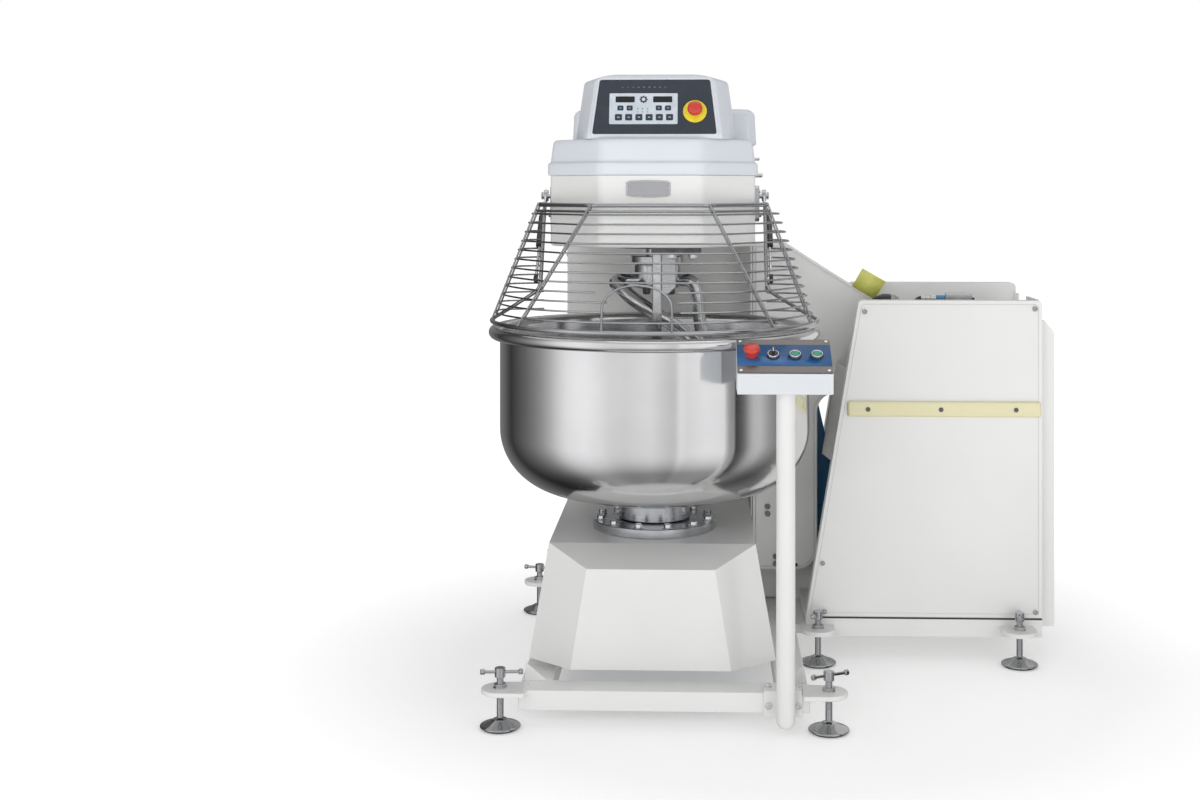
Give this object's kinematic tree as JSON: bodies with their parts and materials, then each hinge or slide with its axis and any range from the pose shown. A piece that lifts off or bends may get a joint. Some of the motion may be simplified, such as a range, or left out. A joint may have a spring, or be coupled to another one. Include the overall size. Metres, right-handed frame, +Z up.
{
  "type": "self-tipping spiral dough mixer",
  "caption": "Floor-standing spiral dough mixer with a wire guard, whose bowl, head and column tip over a side cabinet on a lift arm, with a post-mounted remote control.",
  "frame": {"origin": "on the floor under the middle of the object's box", "axes": "+Z up; +X to the operator's right, towards the tipping cabinet; -Y towards the operator"},
  "size_m": [1.608, 1.237, 1.659],
  "materials": {
    "cream_paint": "semi-gloss powder coat",
    "white_plastic": "satin moulded plastic",
    "navy_panel": "satin overlay",
    "stainless": "brushed and polished",
    "chrome": "bright plated",
    "cast_steel": "machined steel",
    "cast_iron": "machined casting",
    "blue_paint": "gloss enamel",
    "belt_rubber": "matt",
    "black_paint": "satin black",
    "red_plastic": "gloss",
    "green_plastic": "gloss",
    "black_plastic": "satin"
  },
  "bodies": {
    "frame": {"front_beam": "cream_paint", "left_rail": "cream_paint", "right_and_rear_rail": "cream_paint", "cabinet_base": "cream_paint", "cabinet_front_panel": "cream_paint", "cabinet_inner_plate": "cream_paint", "cabinet_rear_panel": "cream_paint", "cabinet_right_side": "cream_paint", "lift_cylinder": "black_paint", "shaft_bearing_front": "cast_iron", "shaft_bearing_rear": "cast_iron", "power_unit_cover": "blue_paint", "hydraulic_power_unit": "blue_paint", "control_post": "cream_paint", "remote_box": "white_plastic", "remote_faceplate": "stainless", "pad_front_left": "chrome", "pad_front_right": "chrome", "pad_rear_left": "chrome", "pad_cabinet_front": "chrome", "pad_cabinet_right": "chrome", "pad_cabinet_rear": "chrome"},
    "mixer": {"tilt_shaft": "cast_steel", "base_housing": "cream_paint", "base_front_cover": "cream_paint", "bowl_bearing": "cast_steel", "bowl_gearmotor": "blue_paint", "column": "cream_paint", "lift_arm": "cream_paint", "spiral_motor": "blue_paint", "drive_belt": "belt_rubber", "breaker_bar": "stainless", "head_body": "cream_paint", "head_cover": "white_plastic", "control_housing": "white_plastic", "control_panel": "navy_panel", "guard_bracket_left": "stainless", "guard_bracket_right": "stainless"},
    "bowl": {"bowl": "stainless", "bowl_hub": "cast_steel"},
    "spiral": {"spiral_hook": "stainless", "spiral_pulley": "cast_iron"},
    "motor_pulley": {"motor_pulley": "cast_iron"},
    "guard": {"guard": "stainless"},
    "strut_tube_left": {"strut_tube_left": "black_paint"},
    "strut_tube_right": {"strut_tube_right": "black_paint"},
    "strut_rod_left": {"strut_rod_left": "chrome"},
    "strut_rod_right": {"strut_rod_right": "chrome"},
    "tilt_rack": {"tilt_rack": "cast_steel"},
    "panel_stop_button": {"panel_stop_button": "red_plastic"},
    "remote_stop_button": {"remote_stop_button": "red_plastic"},
    "remote_selector": {"remote_selector": "black_plastic"},
    "remote_up_button": {"remote_up_button": "green_plastic"},
    "remote_down_button": {"remote_down_button": "green_plastic"},
    "spindle_front_left": {"spindle_front_left": "chrome"},
    "spindle_front_right": {"spindle_front_right": "chrome"},
    "spindle_rear_left": {"spindle_rear_left": "chrome"},
    "spindle_cabinet_front": {"spindle_cabinet_front": "chrome"},
    "spindle_cabinet_right": {"spindle_cabinet_right": "chrome"},
    "spindle_cabinet_rear": {"spindle_cabinet_rear": "chrome"}
  },
  "joints": [
    {"name": "tilt", "type": "hinge", "parent": "frame", "child": "mixer", "pos_m": [0.615, 0.32263, 0.8], "axis": [0, 1, 0], "range_deg": [0, 105]},
    {"name": "rack_slide", "type": "slide", "parent": "frame", "child": "tilt_rack", "axis": [0, 0, 1], "range_m": [0, 0.1833]},
    {"name": "bowl_spin", "type": "hinge", "parent": "mixer", "child": "bowl", "pos_m": [-0.345, -0.07737, 0.47], "axis": [0, 0, 1], "continuous": true},
    {"name": "spiral_spin", "type": "hinge", "parent": "mixer", "child": "spiral", "pos_m": [-0.345, 0.17263, 1.1], "axis": [0, 0, 1], "continuous": true},
    {"name": "motor_spin", "type": "hinge", "parent": "mixer", "child": "motor_pulley", "pos_m": [-0.435, 0.50463, 1.32], "axis": [0, 0, 1], "continuous": true},
    {"name": "guard_lift", "type": "hinge", "parent": "mixer", "child": "guard", "pos_m": [-0.345, -0.04737, 1.334], "axis": [-1, 0, 0], "range_deg": [0, 30]},
    {"name": "strut_swing_left", "type": "hinge", "parent": "mixer", "child": "strut_tube_left", "pos_m": [-0.663, -0.01537, 1.283], "axis": [-1, 0, 0], "range_deg": [0, 29.65]},
    {"name": "strut_slide_left", "type": "slide", "parent": "strut_tube_left", "child": "strut_rod_left", "axis": [0, -0.721, -0.6929], "range_m": [0, 0.03113]},
    {"name": "strut_swing_right", "type": "hinge", "parent": "mixer", "child": "strut_tube_right", "pos_m": [-0.027, -0.01537, 1.283], "axis": [-1, 0, 0], "range_deg": [0, 29.65]},
    {"name": "strut_slide_right", "type": "slide", "parent": "strut_tube_right", "child": "strut_rod_right", "axis": [0, -0.721, -0.6929], "range_m": [0, 0.03113]},
    {"name": "panel_stop_press", "type": "slide", "parent": "mixer", "child": "panel_stop_button", "axis": [0, 0.9397, -0.342], "range_m": [0, 0.005]},
    {"name": "remote_stop_press", "type": "slide", "parent": "frame", "child": "remote_stop_button", "axis": [0, 0.5, -0.866], "range_m": [0, 0.006]},
    {"name": "remote_selector_turn", "type": "hinge", "parent": "frame", "child": "remote_selector", "pos_m": [-0.039, -0.55588, 0.9395], "axis": [0, -0.5, 0.866], "range_deg": [-45, 45]},
    {"name": "remote_up_press", "type": "slide", "parent": "frame", "child": "remote_up_button", "axis": [0, 0.5, -0.866], "range_m": [0, 0.004], "stiffness_N_per_m": 900},
    {"name": "remote_down_press", "type": "slide", "parent": "frame", "child": "remote_down_button", "axis": [0, 0.5, -0.866], "range_m": [0, 0.004], "stiffness_N_per_m": 900},
    {"name": "spindle_turn_front_left", "type": "hinge", "parent": "frame", "child": "spindle_front_left", "pos_m": [-0.72, -0.50737, 0.1], "axis": [0, 0, 1], "continuous": true},
    {"name": "spindle_turn_front_right", "type": "hinge", "parent": "frame", "child": "spindle_front_right", "pos_m": [0.102, -0.50737, 0.1], "axis": [0, 0, 1], "continuous": true},
    {"name": "spindle_turn_rear_left", "type": "hinge", "parent": "frame", "child": "spindle_rear_left", "pos_m": [-0.732, 0.56263, 0.1], "axis": [0, 0, 1], "continuous": true},
    {"name": "spindle_turn_cabinet_front", "type": "hinge", "parent": "frame", "child": "spindle_cabinet_front", "pos_m": [0.117, 0.04263, 0.1], "axis": [0, 0, 1], "continuous": true},
    {"name": "spindle_turn_cabinet_right", "type": "hinge", "parent": "frame", "child": "spindle_cabinet_right", "pos_m": [0.687, 0.04263, 0.1], "axis": [0, 0, 1], "continuous": true},
    {"name": "spindle_turn_cabinet_rear", "type": "hinge", "parent": "frame", "child": "spindle_cabinet_rear", "pos_m": [0.687, 0.51263, 0.1], "axis": [0, 0, 1], "continuous": true}
  ],
  "couplings": [
    {"joint": "rack_slide", "follows": "tilt", "m_per_rad": 0.1},
    {"joint": "motor_spin", "follows": "spiral_spin", "ratio": 3.125},
    {"joint": "strut_swing_left", "follows": "guard_lift", "ratio": 0.98801},
    {"joint": "strut_slide_left", "follows": "guard_lift", "m_per_rad": 0.059438},
    {"joint": "strut_swing_right", "follows": "guard_lift", "ratio": 0.98801},
    {"joint": "strut_slide_right", "follows": "guard_lift", "m_per_rad": 0.059438}
  ]
}
